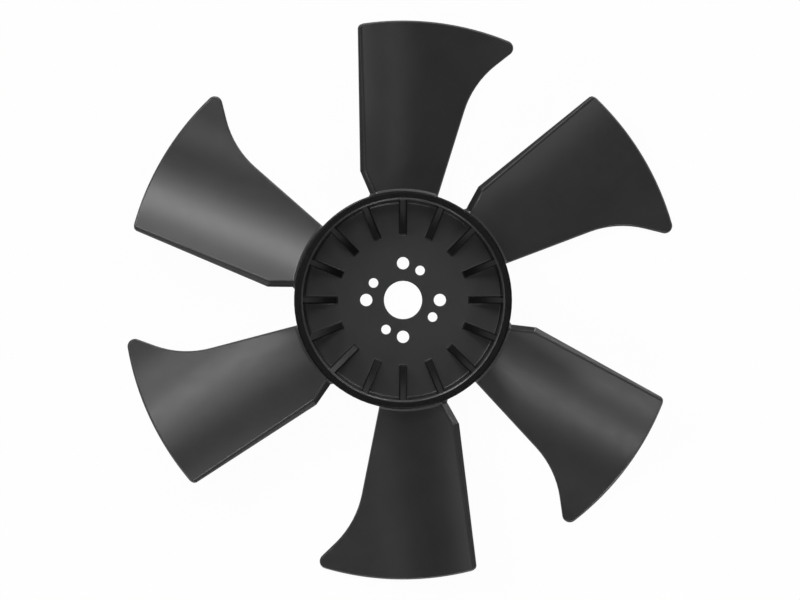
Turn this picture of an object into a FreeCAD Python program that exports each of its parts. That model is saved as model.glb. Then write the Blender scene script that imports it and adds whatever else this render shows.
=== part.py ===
import FreeCAD, Part
import math
import os
import re
import Sketcher

# Engine cooling fan, 410 mm across, moulded in one piece: a deep hub cup, open upwards,
# with sixteen ribs inside it, and six cambered blades set at uneven angles round it.
# Millimetres, +Z up along the axis, origin on the axis in the plane of the mounting face.

SIZES = {
    # hub cup
    "hub_radius": 80.0,
    "hub_height": 66.0,
    "rim_width": 5.0,
    "rim_edge": 1.4,
    "wall_draft": 1.5,
    "plate_thick": 8.0,
    "outer_edge": 1.0,
    "foot_edge": 2.0,
    # holes in the mounting plate
    "bore_dia": 28.0,
    "bolt_dia": 9.0,
    "bolt_circle": 54.0,
    "stud_dia": 7.0,
    "stud_circle": 50.0,
    "stud_turn": 60.0,
    "holes_per_circle": 4,
    # ribs inside the cup
    "rib_count": 16,
    "rib_thick": 5.4,
    "rib_start": 47.8,
    "rib_toe": 4.0,
    "rib_toe_lean": 1.0,
    "rib_top_drop": 5.0,
    "rib_edge": 0.9,
    "foot_bevel": 1.2,
    # blade section: a round arc, steep at the straight edge, thinner towards the tip
    "blade_tilt": 49.0,
    "camber": 168.0,
    "root_thick": 7.15,
    "tip_thick": 3.75,
    "blade_top_drop": 4.0,
    # blade outline, drawn with +Y along the camber's axis
    "tip_radius": 205.0,
    "straight_edge": 29.9,
    "straight_round": 1.8,
    "straight_corner": 7.5,
    "cut_back": 15.5,
    "chamfer_angle": 21.35,
    "curved_root": 29.95,
    "curved_angle": 19.25,
    "hook_angle": 54.0,
    "hook_radius": 68.0,
    "hook_bend": 48.0,
    "hook_corner": 5.6,
    "blade_edge": 1.0,
    "root_bevel": 1.6,
    # places of the blades round the hub
    "blade_lay": -50.0,
    "blade_angle_1": 0.0,
    "blade_angle_2": 52.0,
    "blade_angle_3": 118.0,
    "blade_angle_4": 174.0,
    "blade_angle_5": 238.0,
    "blade_angle_6": 292.0,
}

doc = FreeCAD.newDocument("fan")
sheet = doc.addObject("Spreadsheet::Sheet", "Sizes")
for row, (name, number) in enumerate(SIZES.items(), start=1):
    sheet.set(f"A{row}", name)
    sheet.set(f"B{row}", str(number))
    sheet.setAlias(f"B{row}", name)
doc.recompute()

UP = FreeCAD.Vector(0, 0, 1)


def formula(text):
    """Write the sheet's names in full, so that an expression can use them."""
    return re.sub(r"[a-z_]+[0-9]*", lambda m: f"Sizes.{m[0]}" if m[0] in SIZES else m[0], text)


def value(text):
    result = sheet.evalExpression(formula(text))
    return float(getattr(result, "Value", result))


def bind(item, prop, text):
    item.setExpression(prop, formula(text))


def origin_item(body, role):
    return next(item for item in body.Origin.OriginFeatures if item.Role == role)


def new_sketch(body, role, name):
    sketch = body.newObject("Sketcher::SketchObject", name)
    sketch.AttachmentSupport = [(origin_item(body, role), "")]
    sketch.MapMode = "FlatFace"
    return sketch


def drive(sketch, kind, *items, text):
    """Add a driving constraint to a sketch and tie it to the sheet."""
    start = math.radians(value(text)) if kind == "Angle" else value(text)
    index = sketch.addConstraint(Sketcher.Constraint(kind, *items, start))
    bind(sketch, f"Constraints[{index}]", text)


def place(sketch, item, end, across, up):
    drive(sketch, "DistanceX", -1, 1, item, end, text=across)
    drive(sketch, "DistanceY", -1, 1, item, end, text=up)


def polygon(sketch, corners):
    """Closed outline of straight lines through corners given as pairs of formulas."""
    points = [FreeCAD.Vector(value(across), value(up), 0) for across, up in corners]
    first = sketch.GeometryCount
    count = len(points)
    for i in range(count):
        sketch.addGeometry(Part.LineSegment(points[i], points[(i + 1) % count]))
    for i in range(count):
        following = first + (i + 1) % count
        sketch.addConstraint(Sketcher.Constraint("Coincident", first + i, 2, following, 1))
    for i, (across, up) in enumerate(corners):
        place(sketch, first + i, 1, across, up)


def add_arc(sketch, centre, radius, start, end):
    return sketch.addGeometry(Part.ArcOfCircle(Part.Circle(centre, UP, radius), start, end))


def reach(point):
    return math.hypot(point.x, point.y)


def along_edge(edge):
    low, high = edge.ParameterRange
    return [edge.valueAt(p) for p in (low, (low + high) / 2, high)]


def on_cylinder(edge, radius):
    return all(abs(reach(p) - value(radius)) < 0.01 for p in along_edge(edge))


def belongs_to(edge, faces):
    return any(edge.isSame(other) for face in faces for other in face.Edges)


def middle_normal(face):
    low_u, high_u, low_v, high_v = face.ParameterRange
    return face.normalAt((low_u + high_u) / 2, (low_v + high_v) / 2)


def break_edges(body, kind, name, base, test, amount):
    """Round or bevel the edges of a feature that pass a test on their geometry."""
    doc.recompute()
    found = [f"Edge{i + 1}" for i, edge in enumerate(base.Shape.Edges) if test(edge)]
    item = body.newObject(f"PartDesign::{kind}", name)
    item.Base = (base, found)
    bind(item, "Radius" if kind == "Fillet" else "Size", amount)
    doc.recompute()
    return item


# Hub cup: mounting plate and drafted wall turned as one profile, its edges broken.
WALL_TOP = "(hub_radius - rim_width - rim_edge)"
WALL_FOOT = f"({WALL_TOP} - (hub_height - plate_thick) * tan(wall_draft * 1deg))"
hub = doc.addObject("PartDesign::Body", "Hub")
profile = new_sketch(hub, "XZ_Plane", "HubProfile")
polygon(profile, [
    ("bore_dia / 2", "0"),
    ("hub_radius - foot_edge", "0"),
    ("hub_radius - foot_edge * 0.3", "foot_edge * 0.3"),
    ("hub_radius", "foot_edge"),
    ("hub_radius", "hub_height - outer_edge"),
    ("hub_radius - outer_edge * 0.3", "hub_height - outer_edge * 0.3"),
    ("hub_radius - outer_edge", "hub_height"),
    ("hub_radius - rim_width", "hub_height"),
    (f"{WALL_TOP} + rim_edge * 0.3", "hub_height - rim_edge * 0.3"),
    (WALL_TOP, "hub_height - rim_edge"),
    (f"{WALL_FOOT} + foot_bevel * tan(wall_draft * 1deg)", "plate_thick + foot_bevel"),
    (f"{WALL_FOOT} - foot_bevel * 0.3", "plate_thick + foot_bevel * 0.3"),
    (f"{WALL_FOOT} - foot_bevel", "plate_thick"),
    ("bore_dia / 2", "plate_thick"),
])
drum = hub.newObject("PartDesign::Revolution", "Drum")
drum.Profile = profile
drum.ReferenceAxis = (origin_item(hub, "Z_Axis"), [""])
drum.Angle = 360
doc.recompute()


def around(feature, name, count):
    """Repeat a feature of the hub evenly round the axis."""
    ring = hub.newObject("PartDesign::PolarPattern", name)
    ring.Originals = [feature]
    ring.Axis = (origin_item(hub, "Z_Axis"), [""])
    ring.Angle = 360
    bind(ring, "Occurrences", count)
    hub.Tip = ring
    doc.recompute()
    return ring


def hole_circle(name, diameter, circle, turn):
    """Round holes through the plate on one circle."""
    sketch = new_sketch(hub, "XY_Plane", f"{name}Sketch")
    across = f"{circle} / 2 * cos({turn} * 1deg)"
    up = f"{circle} / 2 * sin({turn} * 1deg)"
    centre = FreeCAD.Vector(value(across), value(up), 0)
    sketch.addGeometry(Part.Circle(centre, UP, value(f"{diameter} / 2")))
    place(sketch, 0, 3, across, up)
    drive(sketch, "Radius", 0, text=f"{diameter} / 2")
    hole = hub.newObject("PartDesign::Pocket", name)
    hole.Profile = sketch
    hole.Reversed = True
    bind(hole, "Length", "plate_thick")
    around(hole, f"{name}Ring", "holes_per_circle")


hole_circle("BoltHole", "bolt_dia", "bolt_circle", "0")
hole_circle("StudHole", "stud_dia", "stud_circle", "stud_turn")

# Ribs: each starts at a low toe on the plate and climbs the wall to just under the rim.
RIB_TOP = "(hub_height - rim_edge - rib_top_drop)"
RIB_ROOT = "(hub_radius - rim_width / 2)"
rib_sketch = new_sketch(hub, "XZ_Plane", "RibProfile")
polygon(rib_sketch, [
    ("rib_start", "plate_thick"),
    ("rib_start + rib_toe_lean", "plate_thick + rib_toe"),
    (WALL_TOP, RIB_TOP),
    (RIB_ROOT, RIB_TOP),
    (RIB_ROOT, "plate_thick / 2"),
    ("rib_start", "plate_thick / 2"),
])
rib = hub.newObject("PartDesign::Pad", "Rib")
rib.Profile = rib_sketch
rib.SideType = "Symmetric"
bind(rib, "Length", "rib_thick")
ribs = around(rib, "RibRing", "rib_count")


def rib_crest(edge):
    """Sloping upper corner of a rib."""
    low, middle, high = sorted(along_edge(edge), key=lambda p: p.z)
    step = 2 * math.pi / value("rib_count")
    bearing = math.atan2(middle.y, middle.x)
    across = reach(middle) * math.sin(bearing - round(bearing / step) * step)
    beside = abs(abs(across) - value("rib_thick / 2")) < 0.01
    toe = value("plate_thick + rib_toe")
    return beside and abs(low.z - toe) < 0.01 and high.z > toe + 1


break_edges(hub, "Fillet", "RibEdge", ribs, rib_crest, "rib_edge")

# Blade: a slice of a wide shallow shell turned round its camber axis, level at its far end and
# steep at the straight edge, and thinner towards the tip.
BLADE_TOP = "(hub_height - blade_top_drop)"
TILT = "(blade_tilt * 1deg)"
SPAN_IN = "(hub_radius * 0.85)"
SPAN_OUT = "(tip_radius * 1.03)"
# The taper makes the straight edge lean, and its round takes a little off its corners.
LEAN = f"atan((root_thick - tip_thick) * sin({TILT}) / ({SPAN_OUT} - {SPAN_IN}))"
ROUNDED_OFF = f"(straight_round * (sin({TILT}) + cos({TILT}) - 1))"
EDGE_AT_TIP = f"({SPAN_OUT} * tan({LEAN}) - straight_edge / cos({LEAN}))"
FRONT_X = f"({EDGE_AT_TIP} + tip_thick * sin({TILT}) - {ROUNDED_OFF})"
FRONT_Z = f"({BLADE_TOP} + {ROUNDED_OFF})"
CAMBER_X = f"({FRONT_X} + camber * sin({TILT}))"
CAMBER_Z = f"({FRONT_Z} + camber * cos({TILT}))"
blade = doc.addObject("PartDesign::Body", "Blade")
span = new_sketch(blade, "YZ_Plane", "Span")
bind(span, "AttachmentOffset.Base.y", CAMBER_Z)
bind(span, "AttachmentOffset.Base.z", CAMBER_X)
polygon(span, [
    (SPAN_IN, "-camber"),
    (SPAN_OUT, "-camber"),
    (SPAN_OUT, "-camber - tip_thick"),
    (SPAN_IN, "-camber - root_thick"),
])
shell = blade.newObject("PartDesign::Revolution", "Shell")
shell.Profile = span
shell.ReferenceAxis = (span, ["H_Axis"])
bind(shell, "Angle", "blade_tilt")
doc.recompute()

# Blade outline seen along the axis: the hooked curved edge, the tip and its two corners. Its near
# line stands clear of the straight edge, which is the end of the shell itself.
ROOT_REACH = "(hub_radius - rim_width / 2)"
NEAR_CLEARANCE = "(straight_round * 0.6)"
CLEAR_EDGE = f"(straight_edge + {ROUNDED_OFF} + {NEAR_CLEARANCE})"
BEND_Y = "(tip_radius - hook_bend)"
BEND_X = f"(curved_root + ({BEND_Y} - hub_radius) * tan(curved_angle * 1deg))"
BEND_RUN = "(hook_radius * tan((hook_angle - curved_angle) / 2 * 1deg))"
outline = new_sketch(blade, "XY_Plane", "Outline")
polygon(outline, [
    ("-tip_radius / 2", "hub_radius / 2"),
    ("tip_radius * 0.8", "hub_radius / 2"),
    ("tip_radius * 0.8", "tip_radius * 1.1"),
    ("-tip_radius / 2", "tip_radius * 1.1"),
])


def heading(angle):
    """Direction at an angle clockwise from +Y."""
    return FreeCAD.Vector(math.sin(math.radians(angle)), math.cos(math.radians(angle)), 0)


def bearing_of(v):
    return math.atan2(v.y, v.x)


def distance_out(start, direction, radius):
    """How far a line from a point runs before it meets a circle round the axis."""
    inward = start.dot(direction)
    return math.sqrt(inward ** 2 - start.Length ** 2 + radius ** 2) - inward


def draw_outline():
    centre = FreeCAD.Vector(0, 0, 0)
    tip, inner, clear = value("tip_radius"), value(ROOT_REACH), value(CLEAR_EDGE)
    hollow_r, nose_r, shoulder_r = (value(n) for n in ("hook_radius", "hook_corner", "straight_corner"))
    edge_way, hook_way = heading(value("curved_angle")), heading(value("hook_angle"))
    straight_way, aside = heading(value(LEAN)), heading(value(LEAN) - 90)
    bend = FreeCAD.Vector(value(BEND_X), value(BEND_Y), 0)
    run = value(BEND_RUN)
    foot = bend + edge_way * distance_out(bend, edge_way, inner)
    low, high = bend - edge_way * run, bend + hook_way * run
    hollow_mid = low + heading(value("curved_angle") + 90) * hollow_r
    inward = heading(value("hook_angle") - 90)
    hook_end = bend + hook_way * distance_out(bend + inward * nose_r, hook_way, tip - nose_r)
    nose_mid = hook_end + inward * nose_r
    shoulder_off = aside * (clear - shoulder_r)
    shoulder_mid = shoulder_off + straight_way * distance_out(shoulder_off, straight_way, tip - shoulder_r)
    near_foot = aside * clear + straight_way * distance_out(aside * clear, straight_way, inner)
    near_head = shoulder_mid + aside * shoulder_r
    edge = outline.addGeometry(Part.LineSegment(foot, low))
    hollow = add_arc(outline, hollow_mid, hollow_r, bearing_of(high - hollow_mid), bearing_of(low - hollow_mid))
    hook = outline.addGeometry(Part.LineSegment(high, hook_end))
    nose = add_arc(outline, nose_mid, nose_r, bearing_of(hook_end - nose_mid), bearing_of(nose_mid))
    tip_arc = add_arc(outline, centre, tip, bearing_of(nose_mid), bearing_of(shoulder_mid))
    shoulder = add_arc(outline, shoulder_mid, shoulder_r, bearing_of(shoulder_mid), bearing_of(aside))
    straight = outline.addGeometry(Part.LineSegment(near_head, near_foot))
    root = add_arc(outline, centre, inner, bearing_of(foot), bearing_of(near_foot))
    for link in (
        ("Tangent", edge, 2, hollow, 2),
        ("Tangent", hollow, 1, hook, 1),
        ("Tangent", hook, 2, nose, 1),
        ("Tangent", nose, 2, tip_arc, 1),
        ("Tangent", tip_arc, 2, shoulder, 1),
        ("Tangent", shoulder, 2, straight, 1),
        ("Coincident", straight, 2, root, 2),
        ("Coincident", root, 1, edge, 1),
        ("Coincident", tip_arc, 3, -1, 1),
        ("Coincident", root, 3, -1, 1),
    ):
        outline.addConstraint(Sketcher.Constraint(*link))
    drive(outline, "Radius", hollow, text="hook_radius")
    drive(outline, "Radius", nose, text="hook_corner")
    drive(outline, "Radius", tip_arc, text="tip_radius")
    drive(outline, "Radius", shoulder, text="straight_corner")
    drive(outline, "Radius", root, text=ROOT_REACH)
    drive(outline, "Distance", -1, 1, straight, text=CLEAR_EDGE)
    drive(outline, "Angle", straight, text=f"270deg - {LEAN}")
    drive(outline, "Angle", edge, text="90 - curved_angle")
    drive(outline, "Angle", hook, text="90 - hook_angle")
    low_x = f"{BEND_X} - {BEND_RUN} * sin(curved_angle * 1deg)"
    low_y = f"{BEND_Y} - {BEND_RUN} * cos(curved_angle * 1deg)"
    place(outline, edge, 2, low_x, low_y)


draw_outline()
trim = blade.newObject("PartDesign::Pocket", "Trim")
trim.Profile = outline
trim.SideType = "Symmetric"
bind(trim, "Length", "hub_height * 4")
doc.recompute()

# The straight edge is cut back towards the hub, square to the blade.
chamfer_sketch = new_sketch(blade, "XY_Plane", "RootChamfer")
chamfer_sketch.AttachmentOffset = FreeCAD.Placement(
    FreeCAD.Vector(), FreeCAD.Rotation(FreeCAD.Vector(0, 1, 0), value("blade_tilt"))
)
bind(chamfer_sketch, "AttachmentOffset.Base.x", FRONT_X)
bind(chamfer_sketch, "AttachmentOffset.Base.z", FRONT_Z)
bind(chamfer_sketch, "AttachmentOffset.Rotation.Angle", "blade_tilt")
SLOPE = f"(tan(chamfer_angle * 1deg) / cos({TILT}))"
CUT_TOP = "(hub_radius + cut_back)"
BELOW = f"({CUT_TOP} - hub_radius * 0.7)"
ABOVE = "(hub_radius / 5)"
polygon(chamfer_sketch, [
    (f"-{ABOVE} * {SLOPE}", f"{CUT_TOP} + {ABOVE}"),
    ("-hub_radius / 2", f"{CUT_TOP} + {ABOVE}"),
    ("-hub_radius / 2", f"{CUT_TOP} - {BELOW}"),
    (f"{BELOW} * {SLOPE}", f"{CUT_TOP} - {BELOW}"),
])
chamfer = blade.newObject("PartDesign::Pocket", "Chamfer")
chamfer.Profile = chamfer_sketch
chamfer.SideType = "Symmetric"
bind(chamfer, "Length", "hub_height")
doc.recompute()

# The straight edge and its cut-back corner are rounded over, and the rest of the rim is bevelled.
def upright(face):
    return abs(middle_normal(face).z) < 0.001


def straight_rim(edge):
    """Edge between the blade's front or back and the end of its section or its cut-back corner."""
    ends = [f for f in chamfer.Shape.Faces if isinstance(f.Surface, Part.Plane) and middle_normal(f).z > 0.3]
    beside = [f for f in chamfer.Shape.Faces if any(edge.isSame(other) for other in f.Edges)]
    at_ends = [f for f in beside if any(f.isSame(end) for end in ends)]
    return len(at_ends) == 1 and not any(upright(f) for f in beside) and not on_cylinder(edge, ROOT_REACH)


straight_round = break_edges(blade, "Fillet", "StraightRound", chamfer, straight_rim, "straight_round")
side_faces = [f for f in straight_round.Shape.Faces if upright(f) and reach(f.CenterOfMass) > value("hub_radius")]


def outline_edge(edge):
    """Edge between a broad face of the blade and the rim of its outline."""
    level = abs(edge.tangentAt(sum(edge.ParameterRange) / 2).z) < 0.999
    return belongs_to(edge, side_faces) and level and not on_cylinder(edge, ROOT_REACH)


break_edges(blade, "Chamfer", "BladeEdges", straight_round, outline_edge, "blade_edge")

# Six copies of the blade stand round the hub at uneven angles, and all are one moulding.
copies = []
for number in range(1, 7):
    copy = doc.addObject("Part::Compound", f"Blade{number}")
    copy.Links = [blade]
    copy.Placement = FreeCAD.Placement(FreeCAD.Vector(), FreeCAD.Rotation(UP, 10))
    bind(copy, "Placement.Rotation.Angle", f"blade_lay + blade_angle_{number}")
    copies.append(copy)
doc.recompute()
whole = doc.addObject("Part::MultiFuse", "Whole")
whole.Shapes = [hub] + copies
doc.recompute()

fan = doc.addObject("PartDesign::Body", "Fan")
fan.Label = "fan"
fan.BaseFeature = whole
doc.recompute()


def root_edge(edge):
    """Long edge where the front or the back of a blade runs into the hub."""
    heights = [p.z for p in along_edge(edge)]
    inside = max(heights) < value("hub_height - outer_edge") - 0.01 and min(heights) > value("foot_edge") + 0.01
    return inside and on_cylinder(edge, "hub_radius") and edge.Length > value("hub_radius / 10")


break_edges(fan, "Chamfer", "RootEdges", fan.Group[0], root_edge, "root_bevel")

for item in doc.Objects:
    if "Invalid" in item.State or "Error" in item.State:
        raise SystemExit(f"{item.Label} did not build: {item.State}")
if fan.Shape.isNull() or not fan.Shape.isValid() or len(fan.Shape.Solids) != 1:
    raise SystemExit("the fan is not one valid solid")
os.makedirs("parts", exist_ok=True)
fan.Shape.exportStep("parts/fan.step")
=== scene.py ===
import math

import bpy
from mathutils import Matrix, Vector


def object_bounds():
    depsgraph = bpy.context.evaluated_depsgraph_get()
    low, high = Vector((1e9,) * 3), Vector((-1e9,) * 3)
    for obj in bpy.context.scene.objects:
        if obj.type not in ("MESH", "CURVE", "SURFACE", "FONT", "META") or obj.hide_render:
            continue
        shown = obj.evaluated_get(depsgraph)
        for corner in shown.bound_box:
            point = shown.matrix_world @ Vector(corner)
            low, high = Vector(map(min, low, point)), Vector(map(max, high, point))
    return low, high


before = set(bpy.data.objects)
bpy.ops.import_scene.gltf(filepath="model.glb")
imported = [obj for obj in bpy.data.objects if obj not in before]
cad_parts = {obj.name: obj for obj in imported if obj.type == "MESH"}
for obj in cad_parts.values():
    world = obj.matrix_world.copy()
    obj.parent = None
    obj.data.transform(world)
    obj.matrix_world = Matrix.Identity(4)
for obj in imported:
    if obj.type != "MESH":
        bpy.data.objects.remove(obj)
cad_low, cad_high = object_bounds()

# The camera looks straight down the fan's axis from far above, with no perspective.
# The axis stands a little to the right of the middle of the picture.
PICTURE_WIDTH_PX = 800
MM_PER_PX = 0.73333
AXIS_RIGHT_OF_MIDDLE_PX = 3.04
CAMERA_HEIGHT_M = 1.5
FARTHEST_SEEN_M = 10

camera_data = bpy.data.cameras.new("camera")
camera_data.type = "ORTHO"
camera_data.ortho_scale = PICTURE_WIDTH_PX * MM_PER_PX / 1000
camera_data.clip_end = FARTHEST_SEEN_M
camera = bpy.data.objects.new("camera", camera_data)
camera.location = (-AXIS_RIGHT_OF_MIDDLE_PX * MM_PER_PX / 1000, 0, CAMERA_HEIGHT_M)
bpy.context.scene.collection.objects.link(camera)
bpy.context.scene.camera = camera

# The fan is one injection moulding in carbon-black filled nylon, satin all over. Its broad faces
# carry a faint flow mottle and the fine pebbled grain of the mould. Its edges are slightly round and
# smoother, and their colour is painted paler, a painted highlight along every edge.
SATIN_BLACK = (0.0215, 0.0215, 0.0222)
MOTTLES_PER_M = 38
PALE_MOTTLE = 1.14
UNEVEN_SPOTS_PER_M = 160
GRAINS_PER_M = 2600
GRAIN_HEIGHT_M = 0.00001
GRAIN_STRENGTH = 0.35
# The cosine of the turn from face to edge where smoothing and painted highlight start and are full.
EDGE_TURN_STARTS = 0.995
EDGE_TURN_FULL = 0.93
EDGE_PAINTED_HIGHLIGHT = 1.5
RUBBED_SMOOTHER = 0.55
EDGE_SAMPLES = 8


def moulded_plastic(name, black, roughness, specular, edge_round_m):
    """Black moulded plastic with flow mottle, fine grain, and softened, smoother edges painted paler as a
    highlight.
    """
    material = bpy.data.materials.new(name)
    material.use_nodes = True
    nodes, links = material.node_tree.nodes, material.node_tree.links
    shader = nodes["Principled BSDF"]
    shader.inputs["Specular IOR Level"].default_value = specular
    place = nodes.new("ShaderNodeTexCoord").outputs["Object"]

    def noise(scale, detail, rough):
        texture = nodes.new("ShaderNodeTexNoise")
        texture.inputs["Scale"].default_value = scale
        texture.inputs["Detail"].default_value = detail
        texture.inputs["Roughness"].default_value = rough
        links.new(place, texture.inputs["Vector"])
        return texture.outputs["Fac"]

    def ranged(value, low, high, to_low, to_high):
        spread = nodes.new("ShaderNodeMapRange")
        limits = {"From Min": low, "From Max": high, "To Min": to_low, "To Max": to_high}
        for socket, number in limits.items():
            spread.inputs[socket].default_value = number
        links.new(value, spread.inputs["Value"])
        return spread.outputs["Result"]

    def blended(kind, share, first, second):
        mix = nodes.new("ShaderNodeMix")
        mix.data_type = kind
        sockets = [socket for socket in mix.inputs if socket.enabled]
        links.new(share, sockets[0])
        for socket, start in zip(sockets[-2:], (first, second)):
            if isinstance(start, bpy.types.NodeSocket):
                links.new(start, socket)
            else:
                socket.default_value = start
        return next(output for output in mix.outputs if output.enabled)

    round_edges = nodes.new("ShaderNodeBevel")
    round_edges.samples = EDGE_SAMPLES
    round_edges.inputs["Radius"].default_value = edge_round_m
    turn = nodes.new("ShaderNodeVectorMath")
    turn.operation = "DOT_PRODUCT"
    links.new(round_edges.outputs["Normal"], turn.inputs[0])
    links.new(nodes.new("ShaderNodeNewGeometry").outputs["Normal"], turn.inputs[1])
    smooth_and_highlight_edge = ranged(turn.outputs["Value"], low=EDGE_TURN_STARTS, high=EDGE_TURN_FULL, to_low=0, to_high=1)

    mottle = ranged(noise(MOTTLES_PER_M, detail=4, rough=0.55), low=0.35, high=0.65, to_low=0, to_high=1)
    pale_black = (*(part * PALE_MOTTLE for part in black), 1)
    # Painted highlight: the edges get a paler base colour.
    edge_highlight_black = (*(part * EDGE_PAINTED_HIGHLIGHT for part in black), 1)
    mottled = blended("RGBA", mottle, (*black, 1), pale_black)
    links.new(blended("RGBA", smooth_and_highlight_edge, mottled, edge_highlight_black), shader.inputs["Base Color"])

    smoothest, roughest = roughness
    uneven = ranged(
        noise(UNEVEN_SPOTS_PER_M, detail=3, rough=0.6), low=0.3, high=0.7, to_low=smoothest, to_high=roughest
    )
    rubbed_smooth = smoothest * RUBBED_SMOOTHER
    links.new(blended("FLOAT", smooth_and_highlight_edge, uneven, rubbed_smooth), shader.inputs["Roughness"])

    grain = nodes.new("ShaderNodeBump")
    grain.inputs["Strength"].default_value = GRAIN_STRENGTH
    grain.inputs["Distance"].default_value = GRAIN_HEIGHT_M
    links.new(noise(GRAINS_PER_M, detail=2, rough=0.5), grain.inputs["Height"])
    links.new(round_edges.outputs["Normal"], grain.inputs["Normal"])
    links.new(grain.outputs["Normal"], shader.inputs["Normal"])
    return material


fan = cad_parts["fan"]
fan.data.materials.clear()
fan.data.materials.append(moulded_plastic(
    "satin_black", SATIN_BLACK, roughness=(0.29, 0.34), specular=0.37, edge_round_m=0.001
))

# Sixteen ribs stiffen the wall of the hub cup. The ribs and the cup's inner wall are painted near
# black, a painted shade for the deep cup, and the ribs' flanks blackest, a painted shade in creases.
CUP_RADIUS_M = 0.0737
PLATE_TOP_M = 0.0085
CREST_LEAN = 0.8
PAINTED_SHADE_BLACK = (0.003, 0.003, 0.0032)
FLANK_PAINTED_SHADE = (0.001, 0.001, 0.0011)


def finish_faces(material, belongs):
    """Give a finish to the fan's faces that pass a test on radius, height, outward and upward lean."""
    fan.data.materials.append(material)
    for face in fan.data.polygons:
        radius = math.hypot(face.center.x, face.center.y)
        outward = (face.normal.x * face.center.x + face.normal.y * face.center.y) / radius
        if belongs(radius, face.center.z, outward, face.normal.z):
            face.material_index = len(fan.data.materials) - 1


# Painted shade: the inside of the cup is coloured far darker than the rest of the fan.
finish_faces(
    moulded_plastic(
        "cup_painted_shade_black", PAINTED_SHADE_BLACK, roughness=(0.29, 0.33), specular=0.25, edge_round_m=0.0004
    ),
    lambda radius, height, outward, upward: radius < CUP_RADIUS_M and height > PLATE_TOP_M,
)
# Painted shade: the ribs' flanks and their fillets are coloured blacker still.
finish_faces(
    moulded_plastic(
        "rib_flank_painted_shade", FLANK_PAINTED_SHADE, roughness=(0.36, 0.42), specular=0.12, edge_round_m=0.0003
    ),
    lambda radius, height, outward, upward: (
        radius < CUP_RADIUS_M and height > PLATE_TOP_M and outward > -CREST_LEAN
    ),
)

# The hub's rim is a flat land where the two halves of the mould closed, with a smooth face that runs
# over its outer edge, painted deep black as a painted shade. Its inner edge is rounded and glossier.
EDGE_INSIDE_M = 0.0735
LAND_INSIDE_M = 0.075
LAND_OUTSIDE_M = 0.0801
LAND_HEIGHT_M = 0.0648
EDGE_HEIGHT_M = 0.0644

# Painted shade: the flat rim land is coloured far darker than the plate, though it faces the same way.
finish_faces(
    moulded_plastic(
        "rim_land_painted_shade", PAINTED_SHADE_BLACK, roughness=(0.23, 0.27), specular=0.22, edge_round_m=0.0004
    ),
    lambda radius, height, outward, upward: (
        LAND_INSIDE_M < radius < LAND_OUTSIDE_M and height > LAND_HEIGHT_M
    ),
)
finish_faces(
    moulded_plastic(
        "rim_edge_black", SATIN_BLACK, roughness=(0.28, 0.32), specular=0.6, edge_round_m=0.0007
    ),
    lambda radius, height, outward, upward: (
        EDGE_INSIDE_M < radius < LAND_INSIDE_M and height > EDGE_HEIGHT_M
    ),
)

# The blades' tips are bevelled along their arc, where the mould's outer ring met the fan and the
# parting line was cut away. The cut left narrow facets, glossier than the moulded faces.
TIP_INSIDE_M = 0.2015
LEAST_OUTWARD = 0.55
MOST_OUTWARD = 0.85
LEAST_UPWARD = 0.5

finish_faces(
    moulded_plastic(
        "tip_bevel_black", SATIN_BLACK, roughness=(0.22, 0.26), specular=0.55, edge_round_m=0.0002
    ),
    lambda radius, height, outward, upward: (
        radius > TIP_INSIDE_M and LEAST_OUTWARD < outward < MOST_OUTWARD and upward > LEAST_UPWARD
    ),
)

# A wide pale table stands in for the floor. The camera sees it nearly white, and it keeps a
# faint shadow of the fan that lies on it.
TABLE_SIZE_M = 12
TABLE_GAP_M = 0.0002
TABLE_WHITE = (0.9, 0.9, 0.9, 1)
TABLE_ROUGHNESS = 0.8
SHOWN_WHITE = (1, 1, 1, 1)
SHOWN_WHITE_SHARE = 0.95

table = bpy.data.meshes.new("table")
reach = TABLE_SIZE_M / 2
table.from_pydata(
    [(-reach, -reach, 0), (reach, -reach, 0), (reach, reach, 0), (-reach, reach, 0)], [], [(0, 1, 2, 3)]
)
table_top = bpy.data.objects.new("table_top", table)
table_top.location.z = cad_low.z - TABLE_GAP_M
bpy.context.scene.collection.objects.link(table_top)

table_white = bpy.data.materials.new("table_white")
table_white.use_nodes = True
nodes, links = table_white.node_tree.nodes, table_white.node_tree.links
painted = nodes["Principled BSDF"]
painted.inputs["Base Color"].default_value = TABLE_WHITE
painted.inputs["Roughness"].default_value = TABLE_ROUGHNESS
painted.inputs["Specular IOR Level"].default_value = 0
glow = nodes.new("ShaderNodeEmission")
glow.inputs["Color"].default_value = SHOWN_WHITE
ray = nodes.new("ShaderNodeLightPath")
seen = ray.outputs["Is Camera Ray"]
for kind in ("Is Glossy Ray", "Is Transmission Ray"):
    either = nodes.new("ShaderNodeMath")
    either.operation = "MAXIMUM"
    links.new(seen, either.inputs[0])
    links.new(ray.outputs[kind], either.inputs[1])
    seen = either.outputs["Value"]
share = nodes.new("ShaderNodeMath")
share.operation = "MULTIPLY"
share.inputs[1].default_value = SHOWN_WHITE_SHARE
links.new(seen, share.inputs[0])
shown = nodes.new("ShaderNodeMixShader")
links.new(share.outputs["Value"], shown.inputs["Fac"])
links.new(painted.outputs["BSDF"], shown.inputs[1])
links.new(glow.outputs["Emission"], shown.inputs[2])
links.new(shown.outputs["Shader"], nodes["Material Output"].inputs["Surface"])
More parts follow.
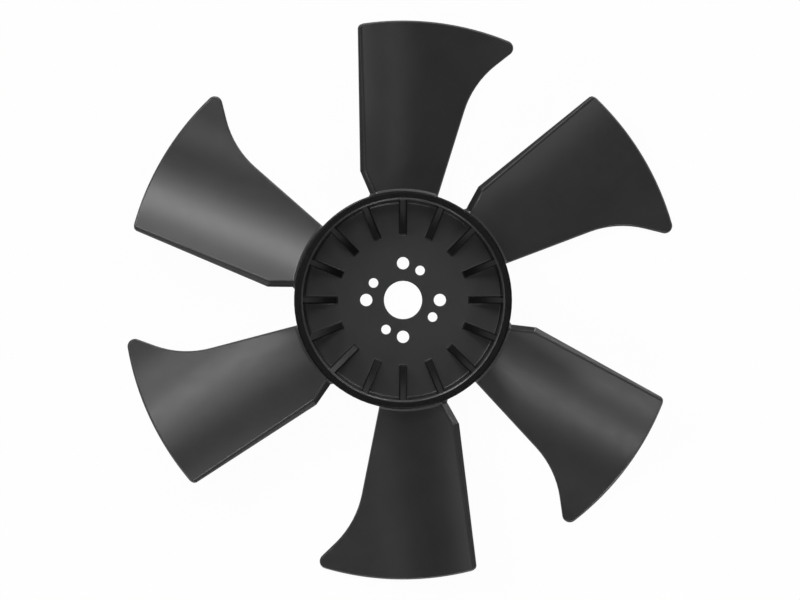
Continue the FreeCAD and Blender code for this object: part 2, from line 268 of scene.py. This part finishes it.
table.materials.append(table_white)

# Soft studio lamps stand round the table. Each has a bearing and a height in degrees, a strength,
# and whether it casts a shadow. Only the overhead ones do. The low ones graze the blades, and the
# edge lights stand at or below the table's level and catch the fan's edges.
LAMPS = {
    "low_upper_right": (75, 15, 1.02, False),
    "lower": (285, 26, 0.67, False),
    "upper": (120, 40, 0.56, False),
    "overhead_left": (150, 58, 0.43, True),
    "overhead_lower": (270, 58, 0.32, True),
    "lower_left": (240, 26, 0.32, False),
    "upper_right": (60, 26, 0.29, False),
    "low_lower_left": (240, 0, 0.29, False),
    "overhead_upper": (120, 58, 0.25, True),
    "overhead_right": (60, 58, 0.23, True),
    "low_lower_right": (300, 0, 0.21, False),
    "low_right": (60, 0, 0.17, False),
    "overhead": (90, 78, 0.16, True),
    "low_upper": (120, 26, 0.16, False),
    "left": (180, 40, 0.08, False),
    "low_far_right": (0, 15, 0.06, False),
    "edge_light_upper": (84, 0, 0.8, False),
    "edge_light_right": (45, -20, 0.8, False),
    "edge_light_left": (247, -35, 0.25, False),
}
LAMP_SOFTNESS_DEG = 12
WORLD_WHITE = (1, 1, 1, 1)
WORLD_STRENGTH = 0.1

for name, (bearing, height, strength, shadow) in LAMPS.items():
    lamp_data = bpy.data.lights.new(name, "SUN")
    lamp_data.energy = strength
    lamp_data.angle = math.radians(LAMP_SOFTNESS_DEG)
    lamp_data.use_shadow = shadow
    lamp = bpy.data.objects.new(name, lamp_data)
    across = math.cos(math.radians(height))
    towards = Vector((
        across * math.cos(math.radians(bearing)),
        across * math.sin(math.radians(bearing)),
        math.sin(math.radians(height)),
    ))
    lamp.rotation_euler = towards.to_track_quat("Z", "Y").to_euler()
    bpy.context.scene.collection.objects.link(lamp)

world = bpy.data.worlds.new("world")
bpy.context.scene.world = world
world.use_nodes = True
background = world.node_tree.nodes["Background"]
background.inputs["Color"].default_value = WORLD_WHITE
background.inputs["Strength"].default_value = WORLD_STRENGTH

bpy.context.scene.view_settings.view_transform = "Standard"
